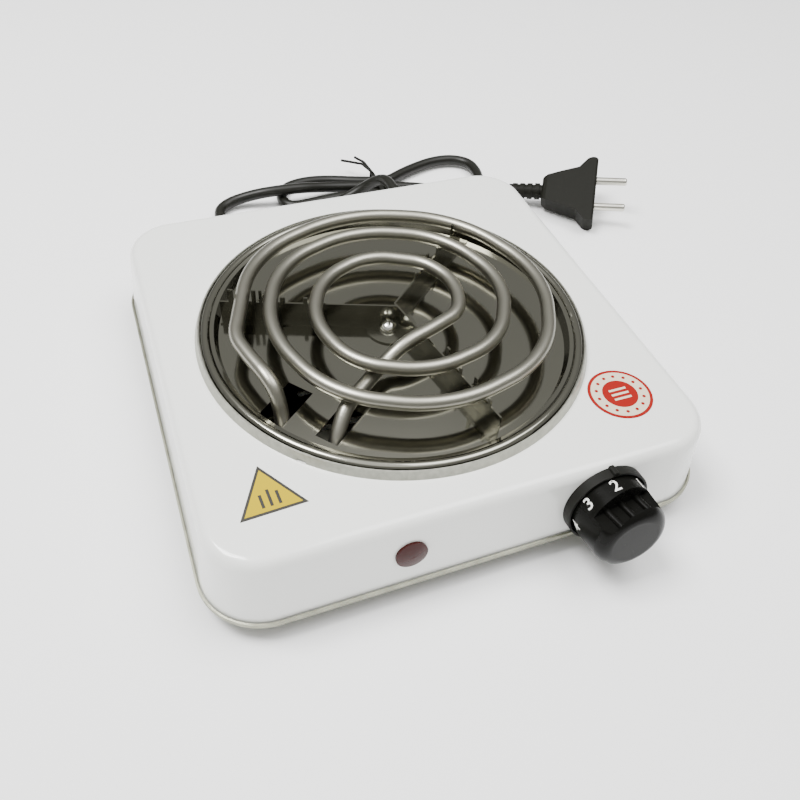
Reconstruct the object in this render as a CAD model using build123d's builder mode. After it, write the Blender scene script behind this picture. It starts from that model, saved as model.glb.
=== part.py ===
from build123d import *
from math import atan, cos, degrees, radians, sin, sqrt, tan
import os

# A single-coil electric hot plate. The origin is on the floor under the middle of the body,
# +X runs to the right along the front, -Y is the front with the knob and lamp, +Z is up.

# ---------------------------------------------------------------- driving dimensions (mm)
SHEET = 0.8                     # body shell, base plate, spider and trim ring
FOOT_HEIGHT = 10.0
FOOT_PITCH = 180.0              # between feet, both ways
SHELL_BOTTOM_SIDE = 224.0
SHELL_LEAN = 4.0                # each wall leans in by this much from bottom to top
SHELL_HEIGHT = 34.9
SHELL_CORNER = 26.0             # plan radius at the bottom of the shell
SHELL_TOP_FILLET = 5.0
LIP_GAP = 0.4                   # between the shell and the base plate's upturned lip
LIP_HEIGHT = 1.4                # lip above the base plate's upper face
COIL_CENTRE = (-1.6, -2.9)
TUBE_DIAMETER = 6.5
TUBE_LIFT = 12.5                # coil centre line above the top of the shell
PAN_SHEET = 0.6
PAN_HOLE_RADIUS = 82.0
PAN_SINK = 1.0                  # pan floor below the top of the shell
WEB_CLEARANCE = 0.35            # spider web below the tube
KNOB_X = 52.4
KNOB_HEIGHT = 27.0
KNOB_RADIUS = 16.8
KNOB_REACH = 24.5               # front of the knob from the shell's front face
LAMP_X = -33.1
LAMP_HEIGHT = 28.3
GLAND_X = 52.0
GLAND_HEIGHT = 20.3
CORD_DIAMETER = 6.6
WIRE_DIAMETER = 2.4
PLUG_FACE = (179.9, 107.4, 16.4)   # middle of the plug's front face, lying beside the body
PLUG_HEADING = -33.5               # degrees from +X in plan
PLUG_RISE = 8.5                    # degrees, the pins point up a little
PLUG_ROLL = 25.6                   # degrees about its own axis, it rests on one wing

# ---------------------------------------------------------------- worked out from them
BASE_TOP = FOOT_HEIGHT + SHEET
SHELL_TOP = BASE_TOP + SHELL_HEIGHT
TAPER = degrees(atan(SHELL_LEAN / SHELL_HEIGHT))
LIP_SIDE = SHELL_BOTTOM_SIDE + 2 * (LIP_GAP + SHEET)
PAN_FLOOR = SHELL_TOP - PAN_SINK
TUBE_RADIUS = TUBE_DIAMETER / 2
WEB_HEIGHT = TUBE_LIFT + PAN_SINK - TUBE_RADIUS - WEB_CLEARANCE     # above the pan floor
COIL_HEIGHT = SHELL_TOP + TUBE_LIFT
WEB_TOP = PAN_FLOOR + WEB_HEIGHT
CORD_RADIUS = CORD_DIAMETER / 2


def wall_plane(x, height, side):
    """Plane on the shell's sloping front (side -1) or rear (side 1) face, z outward."""
    y = SHELL_BOTTOM_SIDE / 2 - (height - BASE_TOP) * tan(radians(TAPER))
    outward = (0, side * cos(radians(TAPER)), sin(radians(TAPER)))
    return Plane(origin=(x, side * y, height), x_dir=(-side, 0, 0), z_dir=outward)


def turning_plane(plane):
    """Plane through a turning axis: its x is the radius, its y runs along the axis."""
    return Plane(origin=plane.origin, x_dir=plane.x_dir, z_dir=-plane.y_dir)


def axis_of(plane):
    return Axis(plane.origin, plane.z_dir)


def arc_radii(points):
    """The largest tangent arc that both runs at each corner of a route allow."""
    vectors = [Vector(*point) for point in points]
    radii = []
    for before, corner, after in zip(vectors, vectors[1:], vectors[2:]):
        shorter = min((corner - before).length, (after - corner).length)
        half_turn = radians((corner - before).get_angle(after - corner)) / 2
        radii.append(0.45 * shorter / tan(half_turn))
    return radii


def dome_arc(rim, top):
    """Arc of a sphere centred on the turning axis, from the rim (radius, height) to the top."""
    rise = top - rim[1]
    sphere = (rim[0] ** 2 + rise ** 2) / (2 * rise)
    half = rim[0] / 2
    return ThreePointArc(rim, (half, top - sphere + sqrt(sphere ** 2 - half ** 2)), (0, top))


def finish(piece, label):
    """Label a finished piece and write it as its own file."""
    piece.part.label = label
    export_step(piece.part, f"parts/{label}.step")


os.makedirs("parts", exist_ok=True)

COIL_PLANE = Plane(origin=(*COIL_CENTRE, 0))
COIL_AXIS = axis_of(COIL_PLANE)
CONTROL = wall_plane(KNOB_X, KNOB_HEIGHT, -1)
LAMP = wall_plane(LAMP_X, LAMP_HEIGHT, -1)
GLAND = wall_plane(GLAND_X, GLAND_HEIGHT, 1)
BUSHING_RADIUS = 4.9
SHAFT_RADIUS = 3.0
LENS_BARREL = 5.8
GLAND_BARREL = 6.0

# ---------------------------------------------------------------- feet, screws and posts
SCREW_RADIUS = 1.95
SCREW_HEAD = (3.5, 2.2)         # radius, height
COUNTERBORE = (4.2, 5.2)        # radius, depth
POST_RADIUS = 4.0
SCREW_REACH = 11.2              # thread inside the post

with BuildPart() as rubber_feet:
    with BuildSketch(Plane.XY):
        with GridLocations(FOOT_PITCH, FOOT_PITCH, 2, 2):
            Circle(8)
    extrude(amount=FOOT_HEIGHT, taper=-5.7)
    with BuildSketch(Plane.XY):
        with GridLocations(FOOT_PITCH, FOOT_PITCH, 2, 2):
            Circle(COUNTERBORE[0])
    extrude(amount=COUNTERBORE[1], mode=Mode.SUBTRACT)
    with BuildSketch(Plane.XY):
        with GridLocations(FOOT_PITCH, FOOT_PITCH, 2, 2):
            Circle(SCREW_RADIUS + 0.1)
    extrude(amount=FOOT_HEIGHT, mode=Mode.SUBTRACT)
finish(rubber_feet, "rubber_feet")

with BuildPart() as foot_screws:
    with BuildSketch(Plane.XY.offset(COUNTERBORE[1] - SCREW_HEAD[1])):
        with GridLocations(FOOT_PITCH, FOOT_PITCH, 2, 2):
            Circle(SCREW_HEAD[0])
    extrude(amount=SCREW_HEAD[1])
    with BuildSketch(Plane.XY.offset(COUNTERBORE[1])):
        with GridLocations(FOOT_PITCH, FOOT_PITCH, 2, 2):
            Circle(SCREW_RADIUS)
    extrude(amount=BASE_TOP - COUNTERBORE[1] + SCREW_REACH)
    with BuildSketch(Plane.XY.offset(COUNTERBORE[1] - SCREW_HEAD[1])):
        with GridLocations(FOOT_PITCH, FOOT_PITCH, 2, 2):
            Rectangle(4.4, 0.8)
            Rectangle(0.8, 4.4)
    extrude(amount=1.2, mode=Mode.SUBTRACT)
finish(foot_screws, "foot_screws")

with BuildPart() as corner_posts:
    with BuildSketch(Plane.XY.offset(BASE_TOP)):
        with GridLocations(FOOT_PITCH, FOOT_PITCH, 2, 2):
            Circle(POST_RADIUS)
    extrude(amount=SHELL_HEIGHT - SHEET)
    with BuildSketch(Plane.XY.offset(BASE_TOP)):
        with GridLocations(FOOT_PITCH, FOOT_PITCH, 2, 2):
            Circle(SCREW_RADIUS + 0.05)
    extrude(amount=SCREW_REACH + 2, mode=Mode.SUBTRACT)
finish(corner_posts, "corner_posts")

# ---------------------------------------------------------------- base plate
with BuildPart() as base_plate:
    with BuildSketch(Plane.XY.offset(FOOT_HEIGHT)):
        RectangleRounded(LIP_SIDE, LIP_SIDE, SHELL_CORNER + LIP_GAP + SHEET)
    extrude(amount=SHEET + LIP_HEIGHT)
    with BuildSketch(Plane.XY.offset(BASE_TOP)):
        RectangleRounded(LIP_SIDE - 2 * SHEET, LIP_SIDE - 2 * SHEET, SHELL_CORNER + LIP_GAP)
    extrude(amount=LIP_HEIGHT, mode=Mode.SUBTRACT)
    with BuildSketch(Plane.XY.offset(FOOT_HEIGHT)):
        with GridLocations(FOOT_PITCH, FOOT_PITCH, 2, 2):
            Circle(SCREW_RADIUS + 0.1)
    extrude(amount=SHEET, mode=Mode.SUBTRACT)
    with BuildSketch(Plane.XY.offset(FOOT_HEIGHT)):
        with GridLocations(60, 12, 2, 5):
            SlotOverall(36, 3.5)
    extrude(amount=SHEET, mode=Mode.SUBTRACT)
finish(base_plate, "base_plate")

# ---------------------------------------------------------------- body shell
with BuildPart() as shell_core:
    with BuildSketch(Plane.XY.offset(BASE_TOP)):
        RectangleRounded(SHELL_BOTTOM_SIDE - 2 * SHEET, SHELL_BOTTOM_SIDE - 2 * SHEET, SHELL_CORNER - SHEET)
    extrude(amount=SHELL_HEIGHT - SHEET, taper=TAPER)
    fillet(shell_core.edges().group_by(Axis.Z)[-1], radius=SHELL_TOP_FILLET - SHEET)

with BuildPart() as body_shell:
    with BuildSketch(Plane.XY.offset(BASE_TOP)):
        RectangleRounded(SHELL_BOTTOM_SIDE, SHELL_BOTTOM_SIDE, SHELL_CORNER)
    extrude(amount=SHELL_HEIGHT, taper=TAPER)
    fillet(body_shell.edges().group_by(Axis.Z)[-1], radius=SHELL_TOP_FILLET)
    add(shell_core.part, mode=Mode.SUBTRACT)
    with BuildSketch(COIL_PLANE.offset(SHELL_TOP - 5)):
        Circle(PAN_HOLE_RADIUS)
    extrude(amount=10, mode=Mode.SUBTRACT)
    with BuildSketch(CONTROL):
        Circle(BUSHING_RADIUS + 0.1)
    extrude(amount=5, both=True, mode=Mode.SUBTRACT)
    with BuildSketch(LAMP):
        Circle(LENS_BARREL + 0.2)
    extrude(amount=5, both=True, mode=Mode.SUBTRACT)
    with BuildSketch(GLAND):
        Circle(GLAND_BARREL + 0.1)
    extrude(amount=5, both=True, mode=Mode.SUBTRACT)
finish(body_shell, "body_shell")

# ---------------------------------------------------------------- trim ring round the pan
RING_OUTER = 89.9
with BuildPart() as trim_ring:
    with BuildSketch(turning_plane(COIL_PLANE.offset(SHELL_TOP))):
        with BuildLine():
            Polyline(
                (PAN_HOLE_RADIUS, 0),
                (RING_OUTER, 0),
                (88.5, 3.8),
                (87.8, 3.8),
                (89.0, SHEET),
                (PAN_HOLE_RADIUS, SHEET),
                close=True,
            )
        make_face()
    revolve(axis=COIL_AXIS)
    with BuildSketch(COIL_PLANE.offset(SHELL_TOP)):
        with PolarLocations(RING_OUTER, 1, start_angle=-134):
            Rectangle(2.4, 4)
    extrude(amount=1, mode=Mode.SUBTRACT)
finish(trim_ring, "trim_ring")

# ---------------------------------------------------------------- drip pan
PAN_BORE = 2.5
BOLT_AT = (-2.6, -0.5)          # from the coil's middle
SLOT_TURN = 39.8                # degrees, the slots' long sides
SLOT_A = (-60.4, -32.4, 23.5, 12.3)    # middle x, y, length, width; outer end of the coil
SLOT_B = (-41.9, -49.8, 20.3, 10.4)    # inner end of the coil

with BuildPart() as drip_pan:
    with BuildSketch(turning_plane(COIL_PLANE.offset(SHELL_TOP))):
        with BuildLine():
            Polyline((0, -PAN_SINK), (79.6, -PAN_SINK), (81.2, 3.2), (83, 3.6))
            ThreePointArc((83, 3.6), (84.9, 4.7), (87.2, 3.3))
            Line((87.2, 3.3), (87.2, SHEET))
            Line((87.2, SHEET), (87.2 - PAN_SHEET, SHEET))
            Line((87.2 - PAN_SHEET, SHEET), (87.2 - PAN_SHEET, 3.0))
            ThreePointArc((87.2 - PAN_SHEET, 3.0), (84.9, 4.1), (83.1, 3.0))
            Polyline(
                (83.1, 3.0), (81.7, 2.7), (80.1, -PAN_SINK - PAN_SHEET),
                (0, -PAN_SINK - PAN_SHEET), (0, -PAN_SINK),
            )
        make_face()
    revolve(axis=COIL_AXIS)
    for x, y, length, width in (SLOT_A, SLOT_B):
        with BuildSketch(COIL_PLANE.offset(PAN_FLOOR - 2)):
            with Locations(Location((x, y, 0), (0, 0, SLOT_TURN))):
                Rectangle(length, width)
        extrude(amount=4, mode=Mode.SUBTRACT)
    with BuildSketch(COIL_PLANE.offset(PAN_FLOOR - 2)):
        with Locations(BOLT_AT):
            Circle(PAN_BORE)
    extrude(amount=4, mode=Mode.SUBTRACT)
finish(drip_pan, "drip_pan")

# ---------------------------------------------------------------- heating coil
# Hand-wound: the tube's radius from the coil's middle at every eighth of a turn, clockwise
# from the left, then the inner bend and the two ends that dive through the pan's slots.
COIL_TURNS = (
    (67.5, 70, 68.5, 71, 71.5, 68.5, 61.5, 58.5),
    (55, 56.5, 54.5, 54.5, 52, 47.5, 41.5, 39.5),
    (35.5, 35, 35, 32.5),
)
EIGHTH_TURN = 45.0
CORNER_STANDOFF = 0.925         # a rounded eighth-turn corner runs this much inside its point
OUTER_END = (
    (-73, -51, -12.3), (-68.5, -47.5, -11), (-63.9, -42, -7), (-63, -37.4, -1), (-63.4, -34, 5.8),
    (-64.3, -30.6, 10), (-66.2, -25, 12.2), (-69.7, -14, TUBE_LIFT),
)
INNER_END = (
    (31.5, 11, TUBE_LIFT), (31, -2, TUBE_LIFT), (25.5, -13.5, TUBE_LIFT), (10, -20, TUBE_LIFT),
    (-3.5, -23.9, 11.6), (-15, -27.8, 5.6), (-27, -37, 5.2), (-38, -46, 5), (-43.3, -52.4, -1.5),
    (-46.5, -57, -7.5), (-51.5, -62.5, -11), (-56, -66.5, -12.3),
)


def coil_route():
    """Corner points of the coil's centre line from its outer end to its inner end."""
    radii = [radius for turn in COIL_TURNS for radius in turn]
    wound = []
    for step, radius in enumerate(radii[1:], start=1):
        angle = radians(180 - EIGHTH_TURN * step)
        reach = radius / CORNER_STANDOFF
        wound.append((reach * cos(angle), reach * sin(angle), TUBE_LIFT))
    start = (-radii[0] / CORNER_STANDOFF, 0, TUBE_LIFT)
    route = [*OUTER_END, start, *wound, *INNER_END]
    return [(x + COIL_CENTRE[0], y + COIL_CENTRE[1], z + SHELL_TOP) for x, y, z in route]


def make_tube(points, radius):
    """A round bar swept along straight runs joined by tangent arcs."""
    with BuildPart() as tube:
        with BuildLine() as route:
            FilletPolyline(*points, radius=arc_radii(points))
        with BuildSketch(Plane(origin=route.line @ 0, z_dir=route.line % 0)):
            Circle(radius)
        sweep(path=route.line)
    return tube


def end_plane(points, last):
    """Plane at a route's first or last point, z outward along the route."""
    ends = (points[-1], points[-2]) if last else (points[0], points[1])
    tip = Vector(*ends[0])
    return Plane(origin=tip, z_dir=tip - Vector(*ends[1]))


COIL_ROUTE = coil_route()
heating_coil = make_tube(COIL_ROUTE, TUBE_RADIUS)
finish(heating_coil, "heating_coil")

PIN_RADIUS = 1.2
PIN_LENGTH = 9.0
BUSH_LENGTH = 4.0
COIL_ENDS = [end_plane(COIL_ROUTE, False), end_plane(COIL_ROUTE, True)]

with BuildPart() as terminal_bushes:
    for end in COIL_ENDS:
        with BuildSketch(end):
            Circle(TUBE_RADIUS - 0.2)
            Circle(PIN_RADIUS, mode=Mode.SUBTRACT)
        extrude(amount=BUSH_LENGTH)
finish(terminal_bushes, "terminal_bushes")

with BuildPart() as terminal_pins:
    for end in COIL_ENDS:
        with BuildSketch(end):
            Circle(PIN_RADIUS)
        extrude(amount=PIN_LENGTH)
finish(terminal_pins, "terminal_pins")

# ---------------------------------------------------------------- spider that carries the coil
HUB_RADIUS = 12.0
FLANGE_WIDTH = 5.0
TOOTH_TOP = WEB_HEIGHT + 6.8
LOW_TOOTH = WEB_HEIGHT + 3.2
# Each arm: direction in degrees, web line to the left of it, side of the flange,
# inner and outer end of the web, and its teeth as (from, to, height).
ARMS = (
    (160.8, -3.4, 1, -1.6, 79.0, (
        (39.5, 41.3, LOW_TOOTH), (49.6, 51.8, LOW_TOOTH), (59.9, 61.2, TOOTH_TOP),
        (62.6, 64.5, TOOTH_TOP), (72.6, 75.0, TOOTH_TOP),
    )),
    (41.7, 2.2, -1, 4.7, 79.0, (
        (25.4, 27.0, LOW_TOOTH), (37.4, 39.0, TOOTH_TOP), (49.2, 50.8, LOW_TOOTH),
        (58.8, 60.4, LOW_TOOTH), (65.6, 67.0, TOOTH_TOP),
    )),
    (-78.3, 3.0, -1, -4.4, 76.5, (
        (37.2, 39.2, TOOTH_TOP), (47.2, 48.6, LOW_TOOTH), (57.4, 59.4, TOOTH_TOP), (67.6, 69.4, LOW_TOOTH),
    )),
)

with BuildPart() as coil_spider:
    with BuildSketch(COIL_PLANE.offset(PAN_FLOOR)):
        with Locations((-1, 0)):
            Circle(HUB_RADIUS)
    extrude(amount=SHEET)
    for heading, offset, flange_side, inner, outer, teeth in ARMS:
        arm = COIL_PLANE.offset(PAN_FLOOR).rotated((0, 0, heading))
        with BuildSketch(arm):
            with Locations(((inner + outer) / 2, offset + flange_side * (FLANGE_WIDTH - SHEET) / 2)):
                Rectangle(outer - inner, FLANGE_WIDTH)
        extrude(amount=SHEET)
        web = Plane(origin=arm.origin, x_dir=arm.x_dir, z_dir=-arm.y_dir).offset(-offset)
        with BuildSketch(web):
            with Locations(((inner + outer) / 2, WEB_HEIGHT / 2)):
                Rectangle(outer - inner, WEB_HEIGHT)
            for start, end, height in teeth:
                with Locations(((start + end) / 2, height / 2)):
                    Rectangle(end - start, height)
        extrude(amount=SHEET / 2, both=True)
    with BuildSketch(COIL_PLANE.offset(PAN_FLOOR)):
        with Locations(BOLT_AT):
            Circle(PAN_BORE)
    extrude(amount=SHEET, mode=Mode.SUBTRACT)
finish(coil_spider, "coil_spider")

# ---------------------------------------------------------------- bridge and centre bolt
BRIDGE_SHEET = 1.0
BRIDGE_WIDTH = 16.0
BRIDGE_LEG = 56.0               # outside of each leg from the middle
BRIDGE_FOOT = 12.0
BRIDGE_TOP = PAN_FLOOR - PAN_SHEET
BOLT_HEAD = (4.2, 3.6)          # radius, height of the dome
BOLT_RADIUS = 2.4
WASHER = (5.0, 0.8)             # radius, thickness
NUT = (7.0, 3.0)                # across flats, thickness
BOLT = Plane(origin=(COIL_CENTRE[0] + BOLT_AT[0], COIL_CENTRE[1] + BOLT_AT[1], PAN_FLOOR + SHEET))
NUT_TOP = BRIDGE_TOP - BRIDGE_SHEET - WASHER[1]

with BuildPart() as pan_bridge:
    with BuildSketch(Plane(origin=(*COIL_CENTRE, 0), x_dir=(1, 0, 0), z_dir=(0, -1, 0))):
        with Locations((0, BRIDGE_TOP - BRIDGE_SHEET / 2)):
            Rectangle(2 * BRIDGE_LEG, BRIDGE_SHEET)
        with Locations((0, BASE_TOP + BRIDGE_SHEET / 2)):
            Rectangle(2 * (BRIDGE_LEG + BRIDGE_FOOT), BRIDGE_SHEET)
            Rectangle(2 * (BRIDGE_LEG - BRIDGE_SHEET), BRIDGE_SHEET, mode=Mode.SUBTRACT)
        for side in (-1, 1):
            with Locations((side * (BRIDGE_LEG - BRIDGE_SHEET / 2), (BRIDGE_TOP + BASE_TOP) / 2)):
                Rectangle(BRIDGE_SHEET, BRIDGE_TOP - BASE_TOP)
    extrude(amount=BRIDGE_WIDTH / 2, both=True)
    with BuildSketch(Plane(origin=BOLT.origin)):
        Circle(PAN_BORE)
    extrude(amount=-5, mode=Mode.SUBTRACT)
finish(pan_bridge, "pan_bridge")

BOLT_TAIL = NUT_TOP - NUT[1] - 3.5 - BOLT.origin.Z

with BuildPart() as centre_bolt:
    with BuildSketch(turning_plane(BOLT)):
        with BuildLine():
            dome_arc((BOLT_HEAD[0], 0.8), BOLT_HEAD[1])
            Polyline(
                (0, BOLT_HEAD[1]), (0, BOLT_TAIL), (BOLT_RADIUS, BOLT_TAIL),
                (BOLT_RADIUS, 0), (BOLT_HEAD[0], 0), (BOLT_HEAD[0], 0.8),
            )
        make_face()
    revolve(axis=axis_of(BOLT))
    with BuildSketch(BOLT.offset(BOLT_HEAD[1])):
        Rectangle(4.6, 0.9)
        Rectangle(0.9, 4.6)
    extrude(amount=-1.3, mode=Mode.SUBTRACT)
finish(centre_bolt, "centre_bolt")

with BuildPart() as centre_washer:
    with BuildSketch(Plane(origin=(BOLT.origin.X, BOLT.origin.Y, NUT_TOP))):
        Circle(WASHER[0])
        Circle(PAN_BORE, mode=Mode.SUBTRACT)
    extrude(amount=WASHER[1])
finish(centre_washer, "centre_washer")

with BuildPart() as centre_nut:
    with BuildSketch(Plane(origin=(BOLT.origin.X, BOLT.origin.Y, NUT_TOP))):
        RegularPolygon(NUT[0] / 2, 6, major_radius=False)
        Circle(PAN_BORE, mode=Mode.SUBTRACT)
    extrude(amount=-NUT[1])
finish(centre_nut, "centre_nut")

# ---------------------------------------------------------------- thermostat behind the knob
BUSHING_BORE = SHAFT_RADIUS + 0.05
BRACKET_DEPTH = 7.0             # bracket plate behind the shell's outer face
BRACKET_SHEET = 1.0
STAT_SIZE = (22.0, 18.0, 16.0)  # width, height, depth of the ceramic base
STAT_FACE = BRACKET_DEPTH + BRACKET_SHEET
BLADE_REACH = 8.0
BEZEL_RADIUS = KNOB_RADIUS + 1.6
BEZEL_DEPTH = 4.6
BEZEL_WALL = 0.9
BEZEL_FLOOR = 1.2
BEZEL_NUT = (12.0, 2.6)         # across flats, thickness
BUSHING_REACH = 4.2

with BuildPart() as thermostat_bracket:
    with BuildSketch(CONTROL.offset(-BRACKET_DEPTH)):
        RectangleRounded(30, 24, 2)
        Circle(SHAFT_RADIUS + 0.3, mode=Mode.SUBTRACT)
    extrude(amount=-BRACKET_SHEET)
finish(thermostat_bracket, "thermostat_bracket")

with BuildPart() as thermostat_base:
    with BuildSketch(CONTROL.offset(-STAT_FACE)):
        RectangleRounded(STAT_SIZE[0], STAT_SIZE[1], 2)
        Circle(SHAFT_RADIUS + 0.3, mode=Mode.SUBTRACT)
    extrude(amount=-STAT_SIZE[2])
finish(thermostat_base, "thermostat_base")

with BuildPart() as thermostat_blades:
    with BuildSketch(CONTROL.offset(-STAT_FACE - STAT_SIZE[2])):
        with GridLocations(14, 1, 2, 1):
            Rectangle(0.8, 6.3)
    extrude(amount=-BLADE_REACH)
finish(thermostat_blades, "thermostat_blades")

with BuildPart() as thermostat_bushing:
    with BuildSketch(CONTROL.offset(-BRACKET_DEPTH)):
        Circle(BUSHING_RADIUS)
        Circle(BUSHING_BORE, mode=Mode.SUBTRACT)
    extrude(amount=BRACKET_DEPTH + BUSHING_REACH)
finish(thermostat_bushing, "thermostat_bushing")

with BuildPart() as bushing_nut:
    with BuildSketch(CONTROL.offset(BEZEL_FLOOR)):
        RegularPolygon(BEZEL_NUT[0] / 2, 6, major_radius=False)
        Circle(BUSHING_RADIUS + 0.05, mode=Mode.SUBTRACT)
    extrude(amount=BEZEL_NUT[1])
finish(bushing_nut, "bushing_nut")

with BuildPart() as knob_bezel:
    with BuildSketch(CONTROL):
        Circle(BEZEL_RADIUS)
        with Locations((0, BEZEL_RADIUS)):
            RectangleRounded(2.4, 2.4, 0.6)
    extrude(amount=BEZEL_DEPTH)
    with BuildSketch(CONTROL.offset(BEZEL_FLOOR)):
        Circle(BEZEL_RADIUS - BEZEL_WALL)
    extrude(amount=BEZEL_DEPTH, mode=Mode.SUBTRACT)
    with BuildSketch(CONTROL):
        Circle(BUSHING_RADIUS + 0.1)
    extrude(amount=BEZEL_DEPTH, mode=Mode.SUBTRACT)
    with BuildSketch(Plane(origin=(KNOB_X, -LIP_SIDE / 2, FOOT_HEIGHT - 2))):
        Rectangle(2 * BEZEL_RADIUS, 0.6)
        with Locations((0, 5)):
            Rectangle(2 * BEZEL_RADIUS, 10)
    extrude(amount=LIP_HEIGHT + SHEET + 2.3, mode=Mode.SUBTRACT)
finish(knob_bezel, "knob_bezel")

# ---------------------------------------------------------------- knob and its shaft
KNOB_BACK = 2.0                 # clear of the bezel's floor
KNOB_WALL = 2.0
KNOB_HOLLOW = (KNOB_RADIUS - KNOB_WALL, 10.0)   # radius, how far the hollow reaches from the wall
KNOB_SHOULDER = 11.5            # numerals behind it, grip bar ahead of it
GRIP_HALF = 8.5
GRIP_TURN = 8.5                 # degrees, the bar leans with the pointer at the lowest setting
DOME_EDGE = 20.0
DOME_FLAT = KNOB_RADIUS - 6.8
DOME_HAUNCH = (KNOB_RADIUS - 2.6, 23.1)         # the dome passes through here
RIB_RADIUS = 1.6
SHAFT_FRONT = 12.0
SHAFT_BACK = STAT_FACE + 12.0

with BuildPart() as knob:
    with BuildSketch(turning_plane(CONTROL)):
        with BuildLine():
            Polyline(
                (0, KNOB_REACH), (0, 5.2), (5.5, 5.2), (5.5, KNOB_HOLLOW[1]),
                KNOB_HOLLOW, (KNOB_HOLLOW[0], KNOB_BACK), (KNOB_RADIUS, KNOB_BACK),
                (KNOB_RADIUS - 0.4, KNOB_SHOULDER), (KNOB_RADIUS - 0.8, DOME_EDGE),
            )
            ThreePointArc((KNOB_RADIUS - 0.8, DOME_EDGE), DOME_HAUNCH, (DOME_FLAT, KNOB_REACH))
            Line((DOME_FLAT, KNOB_REACH), (0, KNOB_REACH))
        make_face()
    revolve(axis=axis_of(CONTROL))
    for side in (-1, 1):
        grip = CONTROL.offset(KNOB_SHOULDER).rotated((0, 0, GRIP_TURN))
        with BuildSketch(grip):
            with Locations((0, side * (GRIP_HALF + 10))):
                Rectangle(40, 20)
            with Locations((0, side * (GRIP_HALF - 0.1))):
                with GridLocations(7.5, 1, 3, 1):
                    Circle(RIB_RADIUS, mode=Mode.SUBTRACT)
        extrude(amount=10.3, mode=Mode.SUBTRACT)
    with BuildSketch(CONTROL):
        Circle(SHAFT_RADIUS + 0.02)
    extrude(amount=SHAFT_FRONT, mode=Mode.SUBTRACT)
finish(knob, "knob")

with BuildPart() as control_shaft:
    with BuildSketch(CONTROL.offset(-SHAFT_BACK)):
        Circle(SHAFT_RADIUS)
    extrude(amount=SHAFT_BACK + SHAFT_FRONT)
finish(control_shaft, "control_shaft")

# ---------------------------------------------------------------- power lamp
LENS_RIM = (6.65, 1.0)          # radius, thickness
LENS_DOME = 1.9
LENS_DEPTH = 9.0
LENS_HOLLOW = (4.6, 8.0)        # radius, depth from the back
HOLDER = (6.4, 7.0)             # radius, length
BULB_RADIUS = 2.0

with BuildPart() as lamp_lens:
    with BuildSketch(turning_plane(LAMP)):
        with BuildLine():
            Polyline(
                (0, LENS_DOME), (0, LENS_HOLLOW[1] - LENS_DEPTH), (LENS_HOLLOW[0], LENS_HOLLOW[1] - LENS_DEPTH),
                (LENS_HOLLOW[0], -LENS_DEPTH), (LENS_BARREL, -LENS_DEPTH), (LENS_BARREL, 0),
                (LENS_RIM[0], 0), LENS_RIM,
            )
            dome_arc(LENS_RIM, LENS_DOME)
        make_face()
    revolve(axis=axis_of(LAMP))
finish(lamp_lens, "lamp_lens")

with BuildPart() as lamp_holder:
    with BuildSketch(LAMP.offset(-LENS_DEPTH)):
        Circle(HOLDER[0])
    extrude(amount=-HOLDER[1])
finish(lamp_holder, "lamp_holder")

with BuildPart() as lamp_bulb:
    with BuildSketch(LAMP.offset(-LENS_DEPTH)):
        Circle(BULB_RADIUS)
    extrude(amount=LENS_HOLLOW[1] - 1.5)
    fillet(lamp_bulb.faces().sort_by(Axis(LAMP.origin, LAMP.z_dir))[-1].edges(), radius=1.6)
finish(lamp_bulb, "lamp_bulb")

with BuildPart() as lamp_clip:
    with BuildSketch(LAMP.offset(-SHEET)):
        Circle(8.0)
        Circle(LENS_BARREL + 0.05, mode=Mode.SUBTRACT)
        with Locations((0, 5)):
            Rectangle(2, 10, mode=Mode.SUBTRACT)
    extrude(amount=-1.2)
finish(lamp_clip, "lamp_clip")

# ---------------------------------------------------------------- labels on the top face
LABEL_SHEET = 0.15
TRIANGLE_AT = (-80.0, -79.3)
TRIANGLE_SIDE = 26.5
TRIANGLE_TURN = -27.0
ROUND_LABEL_AT = (77.6, -74.1)
ROUND_LABEL_RADIUS = 14.3

with BuildPart() as triangle_label:
    with BuildSketch(Plane.XY.offset(SHELL_TOP)):
        with Locations(Location((*TRIANGLE_AT, 0), (0, 0, TRIANGLE_TURN))):
            RegularPolygon(TRIANGLE_SIDE / 2 / cos(radians(30)), 3)
    extrude(amount=LABEL_SHEET)
finish(triangle_label, "triangle_label")

with BuildPart() as round_label:
    with BuildSketch(Plane.XY.offset(SHELL_TOP)):
        with Locations(ROUND_LABEL_AT):
            Circle(ROUND_LABEL_RADIUS)
    extrude(amount=LABEL_SHEET)
finish(round_label, "round_label")

# ---------------------------------------------------------------- cord gland and its boot
GLAND_FLANGE = (7.8, 2.0)       # radius, thickness
GLAND_INSIDE = 6.0
BOOT_BACK = 6.5                 # radii of the boot
BOOT_TIP = 4.6
KNOB_FRONT_Y = CONTROL.origin.Y - KNOB_REACH * cos(radians(TAPER)) - DOME_FLAT * sin(radians(TAPER))
BOOT_RISE = BOOT_TIP * sin(radians(TAPER))
BOOT_LENGTH = (-KNOB_FRONT_Y - GLAND.origin.Y - BOOT_RISE) / cos(radians(TAPER))
BOOT_RINGS = 5

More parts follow.
